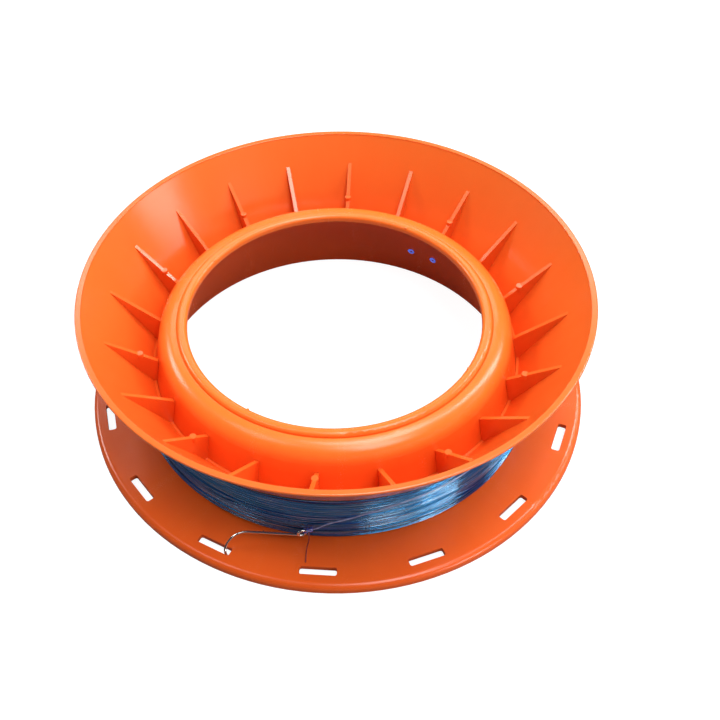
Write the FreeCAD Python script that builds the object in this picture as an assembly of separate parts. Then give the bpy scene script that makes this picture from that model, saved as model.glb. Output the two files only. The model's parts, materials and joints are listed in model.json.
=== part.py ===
"""Hand-line fishing spool: two orange plastic mouldings, a load of line and a stowed hook.

The core moulding is a wide tapered hub with an inward lip for the hand, and a flat flange with
a ring of hook slots.  The casting cone sits on the hub's ledge, opens upwards and is stiffened
by ribs that butt the hub.  Line fills the channel between the flange and the cone.  Its last
turn crosses the winding to a knot and a hook, whose bend is stowed through one of the slots.

Millimetres, +Z up.  The spool's axis is the Z axis and it stands on Z = 0.
"""
import FreeCAD
import Part

import math
import os

Vector = FreeCAD.Vector

# ---- core moulding: hub, lip and hook flange -------------------------------------------------
BORE_BASE_R = 76.0        # inside of the hub where it meets the table
HUB_TAPER_DEG = 12.0      # the hub narrows upwards by this angle
HUB_WALL = 2.2            # hub and lip wall, measured square to the wall
SHOULDER_TOP_Z = 39.5     # top of the shoulder that turns the hub into the lip
SHOULDER_RADIUS = 7.6     # outer radius of that turn
HAND_BORE_R = 58.9        # clear radius inside the lip's bead
BEAD_WIDTH = 4.0
BEAD_TOP_Z = 40.8
BEAD_ROUND = 1.5
CREASE_DEPTH = 0.4        # fine groove between the shoulder and the bead
LEDGE_Z = 18.6            # seat of the casting cone
DRUM_DRAFT = 1.0          # the drum is this much wider at the flange than at the ledge
FLANGE_R = 102.6
FLANGE_TOP_Z = 3.8
FLANGE_PLATE = 2.0
FLANGE_SKIRT = 2.4        # width of the rim that turns down to the table
FOOT_WIDTH = 2.3          # width of the standing ring under the hub
EDGE_ROUND = 0.3          # break on moulded edges

SLOT_COUNT = 15
SLOT_START_DEG = -1.8
SLOT_EDGE = 6.9           # middle of the slots to the flange's edge
SLOT_LENGTH = 13.7
SLOT_WIDTH = 3.2
SLOT_CORNER = 0.8

ANCHOR_HOLE_D = 2.8       # two holes where the line can be made fast to the drum
ANCHOR_HOLE_Z = 16.0
ANCHOR_HOLE_DEG = (47.7, 56.7)

GATE_COUNT = 4            # small vestiges where the plastic was fed in
GATE_START_DEG = 54.1
GATE_D = 1.2
GATE_STAND = 0.7          # height of a vestige over the bead's round

# ---- casting cone ----------------------------------------------------------------------------
CONE_RIM_R = 100.0
CONE_RIM_Z = 57.3
CONE_RIM_EDGE = 0.8       # height of the rim's outer face
CONE_RIM_STEP = 0.5       # drop from the rim's flat land to the cone's inner face
CONE_RIM_ROUND = 0.5
CONE_WALL = 2.2
GROOVE_FLOOR = 1.0        # width of the groove's floor between the hub and the cone
COLLAR_HEIGHT = 1.3       # collar between the ledge and the groove's floor
COLLAR_FIT = 0.15         # gap between the hub and the collar or the rib ends

RIB_COUNT = 20
RIB_START_DEG = 9.1
RIB_THICK = 1.6
RIB_TIP_R = 91.0          # where a rib's top edge runs out on the cone
RIB_HUB_Z = 30.5          # height of a rib's top edge at the hub
PIN_BOSS_D = 2.6          # ejector pads on every second rib
PIN_BOSS_R = 78.5
PIN_BOSS_STAND = 0.5      # height over the rib's edge at the pad's middle
PIN_BOSS_LENGTH = 2.2

# ---- line ------------------------------------------------------------------------------------
LINE_D = 0.5
LOAD_R = 81.6             # outside of the wound line
LOAD_GAP = 0.2            # packed line to the mouldings
TURNS = 20                # turns of the outer layer
TURN_SIDES = 6            # the outer layer is a faceted cord
TURN_GAP = 0.3            # outer layer to the flange and the cone
LAYER_GAP = 0.05          # outer layer to the packed line under it
LAYER_END_DEG = -45.0     # where the last turn leaves the layer
MIN_TURN_GAP = 0.4

# ---- hook ------------------------------------------------------------------------------------
HOOK_WIRE_D = 0.9
HOOK_SHANK = 18.3         # root of the eye to the start of the bend
HOOK_WIDE_R = 9.0         # the bend starts wide
HOOK_WIDE_DEG = 70.0
HOOK_TIGHT_R = 3.6        # and closes tight
HOOK_LEG = 6.6            # straight part after the bend
HOOK_POINT = 3.2
HOOK_TIP_D = 0.08
HOOK_EYE_R = 1.5          # middle of the wire of the eye
HOOK_EYE_TURN_DEG = 30.0  # the eye is turned up, away from the gap
HOOK_EYE_ROLL_DEG = 42.0  # and rolled about its own line
BARB_LENGTH = 1.7
BARB_HEIGHT = 0.5
BARB_THICK = 0.35
SLICE_FROM_EYE = 12.7     # bait barb on the shank
HOOK_TILT_DEG = 48.0      # bend plane below the horizontal
HOOK_YAW_DEG = 172.0      # heading of the shank, from eye to bend
STOW_SLOT = 10            # slot that holds the bend, counted from the first
HOOK_SEAT_OUT = 0.2       # where the wire crosses the flange, outside the slot's middle
HOOK_SEAT_MARGIN = 2.2    # wire's axis to the end of the slot
HOOK_FLOOR_GAP = 0.3      # under the point, above the table

# ---- knot ------------------------------------------------------------------------------------
KNOT_LENGTH = 2.8
KNOT_WRAPS = 4
KNOT_WRAP_R = 0.6
KNOT_TILT_DEG = 9.0
KNOT_RISE_DEG = 30.0      # knot's axis above the horizontal
KNOT_EYE_CLEAR = 0.15     # loop to the wire of the eye

# ---- free line --------------------------------------------------------------------------------
LEAD_EXIT = 7.0           # first run of the lead, on from the outer layer
KNOT_EXIT = 1.8           # last run of the lead, into the knot
TAG_EXIT = 2.4            # first run of the cut end, out of the knot
ARC_SHARE = 0.45          # share of the shorter run that an arc takes

# ---- worked out from the above ----------------------------------------------------------------
TAPER = math.tan(math.radians(HUB_TAPER_DEG))
HUB_ACROSS = HUB_WALL / math.cos(math.radians(HUB_TAPER_DEG))
GROOVE_Z = LEDGE_Z + COLLAR_HEIGHT
CONE_FOOT_R = BORE_BASE_R - TAPER * GROOVE_Z + HUB_ACROSS + COLLAR_FIT + GROOVE_FLOOR
RIM_UNDER_Z = CONE_RIM_Z - CONE_RIM_EDGE
CONE_SPAN = CONE_RIM_R - CONE_FOOT_R
CONE_RISE = RIM_UNDER_Z - GROOVE_Z
# The underside starts at the rim and passes the foot of the inner face one wall away.
CONE_LEAN = math.atan2(CONE_SPAN, CONE_RISE) - math.asin(CONE_WALL / math.hypot(CONE_SPAN, CONE_RISE))
CONE_SLOPE = 1 / math.tan(CONE_LEAN)
CONE_ACROSS = CONE_WALL / math.cos(CONE_LEAN)
LAYER_R = LOAD_R - LINE_D / 2
SLOT_R = FLANGE_R - SLOT_EDGE
PLATE_MID_Z = FLANGE_TOP_Z - FLANGE_PLATE / 2


def polar(radius, degrees, z=0.0):
    """Point at a radius and an azimuth."""
    angle = math.radians(degrees)
    return Vector(radius * math.cos(angle), radius * math.sin(angle), z)


def hub_inner(z):
    """Inside radius of the tapered hub wall at a height."""
    return BORE_BASE_R - TAPER * z


def hub_outer(z):
    """Outside radius of the tapered hub wall at a height."""
    return hub_inner(z) + HUB_ACROSS


def drum_outer(z):
    """Outside radius of the drum under the line at a height."""
    return cone_outer_r(LEDGE_Z) + DRUM_DRAFT * (LEDGE_Z - z) / (LEDGE_Z - FLANGE_TOP_Z)


def cone_inner_r(z):
    """Radius of the cone's inner face at a height."""
    return CONE_FOOT_R + (z - GROOVE_Z) / CONE_SLOPE


def cone_inner_z(radius):
    """Height of the cone's inner face at a radius."""
    return GROOVE_Z + (radius - CONE_FOOT_R) * CONE_SLOPE


def cone_outer_r(z):
    """Radius of the cone's underside at a height."""
    return cone_inner_r(z) + CONE_ACROSS


def under_cone_z(radius, clearance):
    """Height at a radius that lies a clearance below the cone's underside."""
    return cone_inner_z(radius - CONE_ACROSS - clearance / math.cos(CONE_LEAN))


def rounded_outline(corners):
    """Closed wire in the XZ plane from (radius, height, corner radius) corners."""
    points = [Vector(r, 0, z) for r, z, _ in corners]
    count = len(points)
    starts, ends, middles = [], [], []
    for i, (_, _, radius) in enumerate(corners):
        to_last = (points[i - 1] - points[i]).normalize()
        to_next = (points[(i + 1) % count] - points[i]).normalize()
        half = to_last.getAngle(to_next) / 2
        reach = radius / math.tan(half)
        starts.append(points[i] + to_last * reach)
        ends.append(points[i] + to_next * reach)
        bisector = (to_last + to_next).normalize()
        middles.append(points[i] + bisector * (radius / math.sin(half) - radius))
    edges = []
    for i in range(count):
        if corners[i][2] > 0:
            edges.append(Part.Arc(starts[i], middles[i], ends[i]).toShape())
        edges.append(Part.LineSegment(ends[i], starts[(i + 1) % count]).toShape())
    return Part.Wire(edges)


def turned(corners):
    """Solid of revolution about Z from a rounded outline."""
    face = Part.Face(rounded_outline(corners))
    return face.revolve(Vector(0, 0, 0), Vector(0, 0, 1), 360)


def spaced(shape, count, start_deg):
    """Copies of a shape, evenly spaced round Z."""
    copies = []
    for i in range(count):
        copy = shape.copy()
        copy.rotate(Vector(0, 0, 0), Vector(0, 0, 1), start_deg + 360.0 * i / count)
        copies.append(copy)
    return copies


def tube(edges, diameter):
    """Round tube along edges that run on from each other."""
    start = edges[0].valueAt(edges[0].FirstParameter)
    heading = edges[0].tangentAt(edges[0].FirstParameter)
    ring = Part.Wire(Part.makeCircle(diameter / 2, start, heading))
    return Part.Wire(edges).makePipeShell([ring], True, False)


def faceted_tube(edges, diameter, sides):
    """Tube of flat-sided section along edges that run on from each other."""
    start = edges[0].valueAt(edges[0].FirstParameter)
    heading = edges[0].tangentAt(edges[0].FirstParameter)
    across = heading.cross(Vector(0, 0, 1)).normalize() * (diameter / 2)
    upwards = across.cross(heading)
    corners = []
    for i in range(sides + 1):
        angle = 2 * math.pi * i / sides
        corners.append(start + across * math.cos(angle) + upwards * math.sin(angle))
    return Part.Wire(edges).makePipeShell([Part.makePolygon(corners)], True, False)


# ---- core moulding ---------------------------------------------------------------------------
def core_profile():
    """Section of the core moulding, from the foot up the inside and down the outside."""
    lip_under_z = SHOULDER_TOP_Z - HUB_WALL
    bead_outer_r = HAND_BORE_R + BEAD_WIDTH
    crease_z = SHOULDER_TOP_Z - CREASE_DEPTH
    plate_under_z = FLANGE_TOP_Z - FLANGE_PLATE
    skirt_inner_r = FLANGE_R - FLANGE_SKIRT
    foot_outer_r = BORE_BASE_R + FOOT_WIDTH
    return [
        (BORE_BASE_R, 0, EDGE_ROUND),
        (hub_inner(lip_under_z), lip_under_z, SHOULDER_RADIUS - HUB_WALL),
        (HAND_BORE_R, lip_under_z, BEAD_ROUND / 2),
        (HAND_BORE_R, BEAD_TOP_Z, BEAD_ROUND),
        (bead_outer_r, BEAD_TOP_Z, BEAD_ROUND),
        (bead_outer_r, crease_z, 0),
        (bead_outer_r + CREASE_DEPTH, SHOULDER_TOP_Z, 0),
        (hub_outer(SHOULDER_TOP_Z), SHOULDER_TOP_Z, SHOULDER_RADIUS),
        (hub_outer(LEDGE_Z), LEDGE_Z, 0),
        (drum_outer(LEDGE_Z), LEDGE_Z, 0),
        (drum_outer(FLANGE_TOP_Z), FLANGE_TOP_Z, 0),
        (FLANGE_R, FLANGE_TOP_Z, FLANGE_SKIRT),
        (FLANGE_R, 0, EDGE_ROUND),
        (skirt_inner_r, 0, 0),
        (skirt_inner_r, plate_under_z, 0),
        (foot_outer_r, plate_under_z, 0),
        (foot_outer_r, 0, 0),
    ]


def slot_cutter():
    """Rounded prism that cuts one slot through the flange, centred at azimuth 0."""
    half_width = SLOT_WIDTH / 2
    half_length = SLOT_LENGTH / 2
    wire = rounded_outline([
        (SLOT_R - half_width, -half_length, SLOT_CORNER),
        (SLOT_R + half_width, -half_length, SLOT_CORNER),
        (SLOT_R + half_width, half_length, SLOT_CORNER),
        (SLOT_R - half_width, half_length, SLOT_CORNER),
    ])
    wire.rotate(Vector(0, 0, 0), Vector(1, 0, 0), 90)
    wire.translate(Vector(0, 0, -FLANGE_TOP_Z))
    return Part.Face(wire).extrude(Vector(0, 0, 3 * FLANGE_TOP_Z))


def anchor_hole(degrees):
    """Radial drill through the drum wall."""
    start = polar(hub_inner(ANCHOR_HOLE_Z) - HUB_WALL, degrees, ANCHOR_HOLE_Z)
    length = drum_outer(ANCHOR_HOLE_Z) - hub_inner(ANCHOR_HOLE_Z) + 2 * HUB_WALL
    return Part.makeCylinder(ANCHOR_HOLE_D / 2, length, start, polar(1, degrees))


def gate_vestige():
    """Stub on the round of the lip's bead, at azimuth 0."""
    middle_r = HAND_BORE_R + GATE_D / 2 + EDGE_ROUND / 2
    foot_z = BEAD_TOP_Z - BEAD_ROUND - GATE_STAND
    height = BEAD_ROUND + GATE_STAND
    return Part.makeCylinder(GATE_D / 2, height, Vector(middle_r, 0, foot_z), Vector(0, 0, 1))


def make_core_drum():
    """Hub, lip, drum and slotted hook flange in one moulding."""
    body = turned(core_profile())
    body = body.cut(spaced(slot_cutter(), SLOT_COUNT, SLOT_START_DEG))
    body = body.cut([anchor_hole(degrees) for degrees in ANCHOR_HOLE_DEG])
    return body.fuse(spaced(gate_vestige(), GATE_COUNT, GATE_START_DEG))


# ---- casting cone ----------------------------------------------------------------------------
def cone_profile():
    """Section of the cone: collar, inner face, rim and underside."""
    face_top_z = CONE_RIM_Z - CONE_RIM_STEP
    return [
        (hub_outer(LEDGE_Z) + COLLAR_FIT, LEDGE_Z, 0),
        (hub_outer(GROOVE_Z) + COLLAR_FIT, GROOVE_Z, 0),
        (CONE_FOOT_R, GROOVE_Z, 0),
        (cone_inner_r(face_top_z), face_top_z, 0),
        (cone_inner_r(face_top_z), CONE_RIM_Z, CONE_RIM_STEP / 2),
        (CONE_RIM_R, CONE_RIM_Z, CONE_RIM_ROUND),
        (CONE_RIM_R, RIM_UNDER_Z, CONE_RIM_ROUND),
        (cone_outer_r(LEDGE_Z), LEDGE_Z, 0),
    ]


def rib_edge_z(radius):
    """Height of a rib's straight top edge at a radius."""
    hub_r = hub_outer(RIB_HUB_Z)
    rise = (cone_inner_z(RIB_TIP_R) - RIB_HUB_Z) / (RIB_TIP_R - hub_r)
    return RIB_HUB_Z + (radius - hub_r) * rise


def make_rib():
    """Plate between the hub and the cone at azimuth 0, rooted in the cone's wall."""
    root = CONE_WALL / 2
    tip_z = rib_edge_z(RIB_TIP_R + root)
    corners = [
        (hub_outer(GROOVE_Z) + COLLAR_FIT, GROOVE_Z - COLLAR_HEIGHT / 2),
        (CONE_FOOT_R + root, GROOVE_Z - COLLAR_HEIGHT / 2),
        (RIB_TIP_R + root, tip_z),
        (hub_outer(RIB_HUB_Z) + COLLAR_FIT, RIB_HUB_Z),
    ]
    points = [Vector(r, -RIB_THICK / 2, z) for r, z in corners]
    plate = Part.Face(Part.makePolygon(points + points[:1]))
    return plate.extrude(Vector(0, RIB_THICK, 0))


def make_pin_boss():
    """Short round ejector pad on the top edge of a rib at azimuth 0."""
    top_z = rib_edge_z(PIN_BOSS_R) + PIN_BOSS_STAND
    foot = Vector(PIN_BOSS_R, 0, top_z - PIN_BOSS_LENGTH)
    return Part.makeCylinder(PIN_BOSS_D / 2, PIN_BOSS_LENGTH, foot, Vector(0, 0, 1))


def make_casting_cone():
    """Flared cone with its collar, ribs and ejector pads in one moulding."""
    ribs = spaced(make_rib(), RIB_COUNT, RIB_START_DEG)
    bosses = spaced(make_pin_boss(), RIB_COUNT // 2, RIB_START_DEG)
    return turned(cone_profile()).fuse(ribs + bosses)


# ---- wound line ------------------------------------------------------------------------------
def make_line_core():
    """Packed line under the outer layer, filling the channel."""
    core_r = LAYER_R - LINE_D / 2 - LAYER_GAP
    inner_top_r = drum_outer(LEDGE_Z) + 2 * LOAD_GAP
    return turned([
        (drum_outer(FLANGE_TOP_Z) + LOAD_GAP, FLANGE_TOP_Z, 0),
        (inner_top_r, under_cone_z(inner_top_r, LOAD_GAP), 0),
        (core_r, under_cone_z(core_r, LOAD_GAP), 0),
        (core_r, FLANGE_TOP_Z, 0),
    ])


def biarc(start, start_heading, end, end_heading):
    """Two arcs that join two points along two unit headings."""
    chord = end - start
    both = start_heading + end_heading
    spread = 2 * (1 - start_heading.dot(end_heading))
    along = chord.dot(both)
    reach = (math.sqrt(along * along + spread * chord.dot(chord)) - along) / spread
    joint = (start + end + (start_heading - end_heading) * reach) * 0.5
    return [
        tangent_arc(start, start + start_heading * reach, joint),
        tangent_arc(joint, end - end_heading * reach, end),
    ]


def tangent_arc(start, corner, end):
    """Arc from start to end, tangent to the two equal legs that meet at the corner."""
    middle = (start + end) * 0.5
    half_chord = (end - start).Length / 2
    rise = (corner - middle).Length
    sagitta = half_chord * math.tan(math.atan2(rise, half_chord) / 2)
    crown = middle + (corner - middle) * (sagitta / rise)
    return Part.Arc(start, crown, end).toShape()


def layer_heights():
    """Lowest and highest middle of the outer layer's turns."""
    clearance = TURN_GAP + LINE_D / 2
    return FLANGE_TOP_Z + clearance, under_cone_z(LAYER_R, clearance)


def layer_point(half_turns):
    """Point and unit heading of the outer layer, climbing clockwise seen from above."""
    low, high = layer_heights()
    pitch = (high - low) / TURNS
    degrees = LAYER_END_DEG + 180.0 * (2 * TURNS - half_turns)
    point = polar(LAYER_R, degrees, low + pitch * half_turns / 2)
    heading = polar(2 * math.pi * LAYER_R, degrees - 90, pitch).normalize()
    return point, heading


def make_line_turns():
    """Outer layer: one unbroken line, wound up the load, with straight ends."""
    edges = []
    point, heading = layer_point(0)
    edges.append(Part.LineSegment(point - heading * LINE_D, point).toShape())
    for i in range(2 * TURNS):
        following, next_heading = layer_point(i + 1)
        edges += biarc(point, heading, following, next_heading)
        point, heading = following, next_heading
    edges.append(Part.LineSegment(point, point + heading * LINE_D).toShape())
    print("outer layer, least gap to itself: %.3f mm" % least_turn_gap(edges))
    return faceted_tube(edges, LINE_D, TURN_SIDES)


def least_turn_gap(edges):
    """Least clear distance between neighbouring turns, measured on points of the path."""
    arcs_per_turn = 4
    least = None
    for i in range(1, len(edges) - 1 - arcs_per_turn):
        mine = edges[i].discretize(Number=7)
        rows = edges[i + arcs_per_turn - 1:i + arcs_per_turn + 2]
        others = [point for edge in rows for point in edge.discretize(Number=25)]
        nearest = min((a - b).Length for a in mine for b in others)
        least = nearest if least is None else min(least, nearest)
    gap = least - LINE_D
    if gap < MIN_TURN_GAP:
        print("outer layer is wound closer than %.1f mm" % MIN_TURN_GAP)
    return gap


# ---- hook ------------------------------------------------------------------------------------
def bend_centre():
    """Centre of the bend's tight part: along the shank from the bend's start, and into the gap."""
    wide = math.radians(HOOK_WIDE_DEG)
    along = (HOOK_WIDE_R - HOOK_TIGHT_R) * math.sin(wide)
    inwards = HOOK_WIDE_R - (HOOK_WIDE_R - HOOK_TIGHT_R) * math.cos(wide)
    return along, inwards


def hook_frame():
    """Root of the eye and the unit headings along the shank, into the gap and across."""
    tilt = math.radians(HOOK_TILT_DEG)
    shank = polar(1, HOOK_YAW_DEG)
    outward = polar(1, HOOK_YAW_DEG + 90)
    gap = outward * math.cos(tilt) - Vector(0, 0, math.sin(tilt))
    # The bend's tight part crosses the middle of the flange plate at the seat.
    centre_along, centre_in = bend_centre()
    leg_z = HOOK_FLOOR_GAP + HOOK_WIRE_D / 2
    seat_in = centre_in + HOOK_TIGHT_R - (PLATE_MID_Z - leg_z) / math.sin(tilt)
    seat_along = centre_along + math.sqrt(HOOK_TIGHT_R ** 2 - (seat_in - centre_in) ** 2)
    seat = Vector(SLOT_R + HOOK_SEAT_OUT, SLOT_LENGTH / 2 - HOOK_SEAT_MARGIN, PLATE_MID_Z)
    turn = FreeCAD.Rotation(Vector(0, 0, 1), SLOT_START_DEG + 360.0 * STOW_SLOT / SLOT_COUNT)
    eye_root = turn.multVec(seat) - shank * (HOOK_SHANK + seat_along) - gap * seat_in
    return eye_root, shank, gap, shank.cross(gap)


def eye_ring():
    """Middle and axis of the ring of the eye, which stands on the end of the shank."""
    eye_root, shank, gap, across = hook_frame()
    turn = math.radians(HOOK_EYE_TURN_DEG)
    roll = math.radians(HOOK_EYE_ROLL_DEG)
    outwards = shank * -math.cos(turn) - gap * math.sin(turn)
    flat_axis = gap * math.cos(turn) - shank * math.sin(turn)
    return eye_root + outwards * HOOK_EYE_R, flat_axis * math.cos(roll) + across * math.sin(roll)


def wedge(root, along, out, thick_way):
    """Sliced-up barb: a sharp fin that rises along a wire."""
    side = thick_way * (BARB_THICK / 2)
    base = root - out * (HOOK_WIRE_D / 4)
    points = [base, base + along * BARB_LENGTH, root + out * (HOOK_WIRE_D / 2 + BARB_HEIGHT)]
    face = Part.Face(Part.makePolygon([point - side for point in points + points[:1]]))
    return face.extrude(side * 2)


def bend_edges(start, shank, gap):
    """Wide arc, then tight arc, from the shank round to the leg."""
    along, inwards = bend_centre()
    centre = start + shank * along + gap * inwards
    wide = math.radians(HOOK_WIDE_DEG)

    def on_arc(middle, radius, angle):
        return middle + (shank * math.sin(angle) - gap * math.cos(angle)) * radius

    half_wide = on_arc(start + gap * HOOK_WIDE_R, HOOK_WIDE_R, wide / 2)
    joint = on_arc(centre, HOOK_TIGHT_R, wide)
    half_tight = on_arc(centre, HOOK_TIGHT_R, (wide + math.pi) / 2)
    leg_start = centre + gap * HOOK_TIGHT_R
    wide_arc = Part.Arc(start, half_wide, joint).toShape()
    return [wide_arc, Part.Arc(joint, half_tight, leg_start).toShape()], leg_start


def make_hook():
    """Bait-holder hook: ringed eye, sliced shank, bend that closes tight, barbed point."""
    eye_root, shank, gap, across = hook_frame()
    eye, eye_axis = eye_ring()
    bend_start = eye_root + shank * HOOK_SHANK
    bend, leg_start = bend_edges(bend_start, shank, gap)
    leg_end = leg_start - shank * HOOK_LEG
    straight = Part.LineSegment(eye_root, bend_start).toShape()
    leg = Part.LineSegment(leg_start, leg_end).toShape()
    wire_r = HOOK_WIRE_D / 2
    ring = Part.makeTorus(HOOK_EYE_R, wire_r, eye, eye_axis)
    point = Part.makeCone(wire_r, HOOK_TIP_D / 2, HOOK_POINT, leg_end, shank * -1)
    barb = wedge(leg_end - shank * BARB_HEIGHT, shank * -1, gap * -1, across)
    bait_slice = wedge(eye_root + shank * SLICE_FROM_EYE, shank, gap * -1, across)
    return tube([straight] + bend + [leg], HOOK_WIRE_D).fuse([ring, point, barb, bait_slice])


# ---- knot and free line ----------------------------------------------------------------------
def knot_frame():
    """Middle of the wire that the loop holds, the knot's heading and the eye's wire there."""
    eye, eye_axis = eye_ring()
    rise = math.radians(KNOT_RISE_DEG)
    degrees = math.degrees(math.atan2(eye.y, eye.x))
    heading = polar(math.cos(rise), degrees + 90, math.sin(rise))
    in_ring = (heading - eye_axis * heading.dot(eye_axis)).normalize()
    return eye + in_ring * HOOK_EYE_R, heading, eye_axis.cross(in_ring)


def knot_ends():
    """Where the barrel of the knot starts and where the line comes out of it."""
    loop, heading, _ = knot_frame()
    loop_r = HOOK_WIRE_D / 2 + KNOT_EYE_CLEAR + LINE_D / 2
    start = loop + heading * loop_r
    return start, start + heading * KNOT_LENGTH


def make_hook_knot():
    """Clinched barrel of wraps with the loop that passes through the eye."""
    loop, heading, wire_way = knot_frame()
    start, _ = knot_ends()
    loop_r = HOOK_WIRE_D / 2 + KNOT_EYE_CLEAR + LINE_D / 2
    barrel = Part.makeCylinder(KNOT_WRAP_R, KNOT_LENGTH, start, heading)
    ring = Part.makeTorus(loop_r, LINE_D / 2, loop, wire_way)
    pitch = (KNOT_LENGTH - LINE_D) / KNOT_WRAPS
    wrap_axis = heading + wire_way * math.tan(math.radians(KNOT_TILT_DEG))
    wraps = []
    for i in range(KNOT_WRAPS):
        middle = start + heading * (LINE_D / 2 + pitch * (i + 0.5))
        wraps.append(Part.makeTorus(KNOT_WRAP_R, LINE_D / 2, middle, wrap_axis))
    return barrel.fuse([ring] + wraps)


def cord_path(points, name):
    """Straight runs joined by arcs as large as the runs allow; prints the bend radii."""
    edges = []
    radii = []
    last = points[0]
    for before, corner, after in zip(points, points[1:], points[2:]):
        back = (before - corner).normalize()
        onward = (after - corner).normalize()
        half_turn = (math.pi - back.getAngle(onward)) / 2
        reach = ARC_SHARE * min((before - corner).Length, (after - corner).Length)
        radii.append(reach / math.tan(half_turn))
        arc_start = corner + back * reach
        arc_end = corner + onward * reach
        edges.append(Part.LineSegment(last, arc_start).toShape())
        edges.append(tangent_arc(arc_start, corner, arc_end))
        last = arc_end
    edges.append(Part.LineSegment(last, points[-1]).toShape())
    print("%s: bend radii from %.1f to %.1f mm" % (name, min(radii), max(radii)))
    return edges


def cord_tube(points, name):
    """Tube along a free line, with its volume compared with section times length."""
    edges = cord_path(points, name)
    solid = tube(edges, LINE_D)
    length = sum(edge.Length for edge in edges)
    ratio = solid.Volume / (math.pi * LINE_D ** 2 / 4 * length)
    print("%s: length %.1f mm, volume ratio %.4f" % (name, length, ratio))
    return solid


def lead_points():
    """Line from the end of the outer layer, across the winding, to the knot."""
    end, heading = layer_point(2 * TURNS)
    start = end + heading * LINE_D
    _, knot_heading, _ = knot_frame()
    _, knot_out = knot_ends()
    across_winding = [
        (82.35, -56.2, 24.2),
        (82.50, -62.3, 23.7),
        (82.50, -68.5, 23.1),
        (82.50, -74.7, 22.4),
        (82.50, -80.7, 21.4),
        (82.50, -86.2, 19.4),
        (82.60, -90.9, 17.1),
        (82.75, -94.6, 15.4),
        (83.05, -97.0, 13.9),
    ]
    crossing = [polar(radius, degrees, z) for radius, degrees, z in across_winding]
    into_knot = [knot_out + knot_heading * KNOT_EXIT, knot_out]
    return [start, start + heading * LEAD_EXIT] + crossing + into_knot


def tag_points():
    """Cut end of the line from the knot, over the flange towards its edge."""
    start, _ = knot_ends()
    _, knot_heading, _ = knot_frame()
    over_flange = [
        (88.2, -100.8, 6.6),
        (90.7, -100.75, 5.1),
        (93.0, -100.7, 4.4),
    ]
    lying = [polar(radius, degrees, z) for radius, degrees, z in over_flange]
    inside = start + knot_heading * LINE_D
    out = lying[-1] - inside
    out = (out - knot_heading * out.dot(knot_heading)).normalize()
    root = inside + out * (KNOT_WRAP_R + LINE_D / 2)
    return [root, root + out * TAG_EXIT] + lying


def main():
    """Write one STEP file for each piece."""
    pieces = {
        "core_drum": make_core_drum(),
        "casting_cone": make_casting_cone(),
        "line_core": make_line_core(),
        "line_turns": make_line_turns(),
        "line_lead": cord_tube(lead_points(), "line lead"),
        "hook_knot": make_hook_knot(),
        "line_tag_end": cord_tube(tag_points(), "tag end"),
        "hook": make_hook(),
    }
    os.makedirs("parts", exist_ok=True)
    for name, shape in pieces.items():
        shape = shape.removeSplitter()
        print("%-14s solids %d, valid %s, %.1f mm3" %
              (name, len(shape.Solids), shape.isValid(), shape.Volume))
        shape.exportStep("parts/%s.step" % name)


main()
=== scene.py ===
"""Looks of a hand-line fishing spool, dressed on its solid model.

The two orange mouldings and the hook keep the shape of their solids and get a moulded-plastic
and a plated finish.  The load of line, the free end with its knot, and the cut end are modelled
here as the strands they are, in the space that their solids hold.  Metres, +Z up, the spool's
axis on Z, standing on Z = 0.
"""

import json
import logging
import math
from dataclasses import dataclass, field
from enum import Enum
from random import Random
from typing import Sequence, Union

import bpy
from mathutils import Matrix, Vector

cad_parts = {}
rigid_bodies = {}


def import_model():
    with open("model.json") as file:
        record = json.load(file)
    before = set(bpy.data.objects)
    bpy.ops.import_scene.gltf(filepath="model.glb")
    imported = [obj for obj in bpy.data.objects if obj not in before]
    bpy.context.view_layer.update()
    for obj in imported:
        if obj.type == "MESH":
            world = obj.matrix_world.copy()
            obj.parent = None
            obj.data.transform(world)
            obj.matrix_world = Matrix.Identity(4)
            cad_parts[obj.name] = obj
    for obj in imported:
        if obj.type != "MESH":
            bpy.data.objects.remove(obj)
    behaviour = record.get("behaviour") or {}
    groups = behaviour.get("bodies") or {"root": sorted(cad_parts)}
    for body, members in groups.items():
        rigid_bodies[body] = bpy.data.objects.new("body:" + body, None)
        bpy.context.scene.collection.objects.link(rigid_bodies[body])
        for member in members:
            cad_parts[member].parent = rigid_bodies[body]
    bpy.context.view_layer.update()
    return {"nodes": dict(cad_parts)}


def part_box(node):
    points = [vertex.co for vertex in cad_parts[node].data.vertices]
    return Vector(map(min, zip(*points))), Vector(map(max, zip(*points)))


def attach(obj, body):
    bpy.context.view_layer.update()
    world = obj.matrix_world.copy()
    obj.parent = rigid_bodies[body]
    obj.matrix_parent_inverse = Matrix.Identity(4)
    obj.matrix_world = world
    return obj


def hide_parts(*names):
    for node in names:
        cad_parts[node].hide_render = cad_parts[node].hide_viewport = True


LOG = logging.getLogger("hand_line_spool")
MM = 0.001
FULL_TURN = 2 * math.pi
STRAND_SIDES = 8
MERGE_WITHIN = 0.001 * MM
SHINE_FROM, SHINE_TO = 0.47, 0.60

Colour = tuple[float, float, float]
Value = Union[float, Colour, bpy.types.NodeSocket]


class Body(Enum):
    """Moving bodies of the solid model."""

    SPOOL = "spool"
    LINE_END = "line_end"


class Slot(Enum):
    """Material slots of the record."""

    PLASTIC = "orange_plastic"
    LINE = "blue_line"
    WIRE = "nickel_wire"


# ---- small helps -----------------------------------------------------------------------------
def polar(radius: float, degrees: float, height: float) -> Vector:
    """Point at a radius, an azimuth in degrees and a height."""
    angle = math.radians(degrees)
    return Vector((radius * math.cos(angle), radius * math.sin(angle), height))


def deselect_all() -> None:
    """Leave nothing selected, so that an operator acts on new work alone."""
    for item in bpy.context.selected_objects:
        item.select_set(False)


def make_active(piece: bpy.types.Object) -> None:
    """Select one object alone and make it the active one.

    Args:
        piece: the object.
    """
    deselect_all()
    piece.select_set(True)
    bpy.context.view_layer.objects.active = piece


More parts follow.
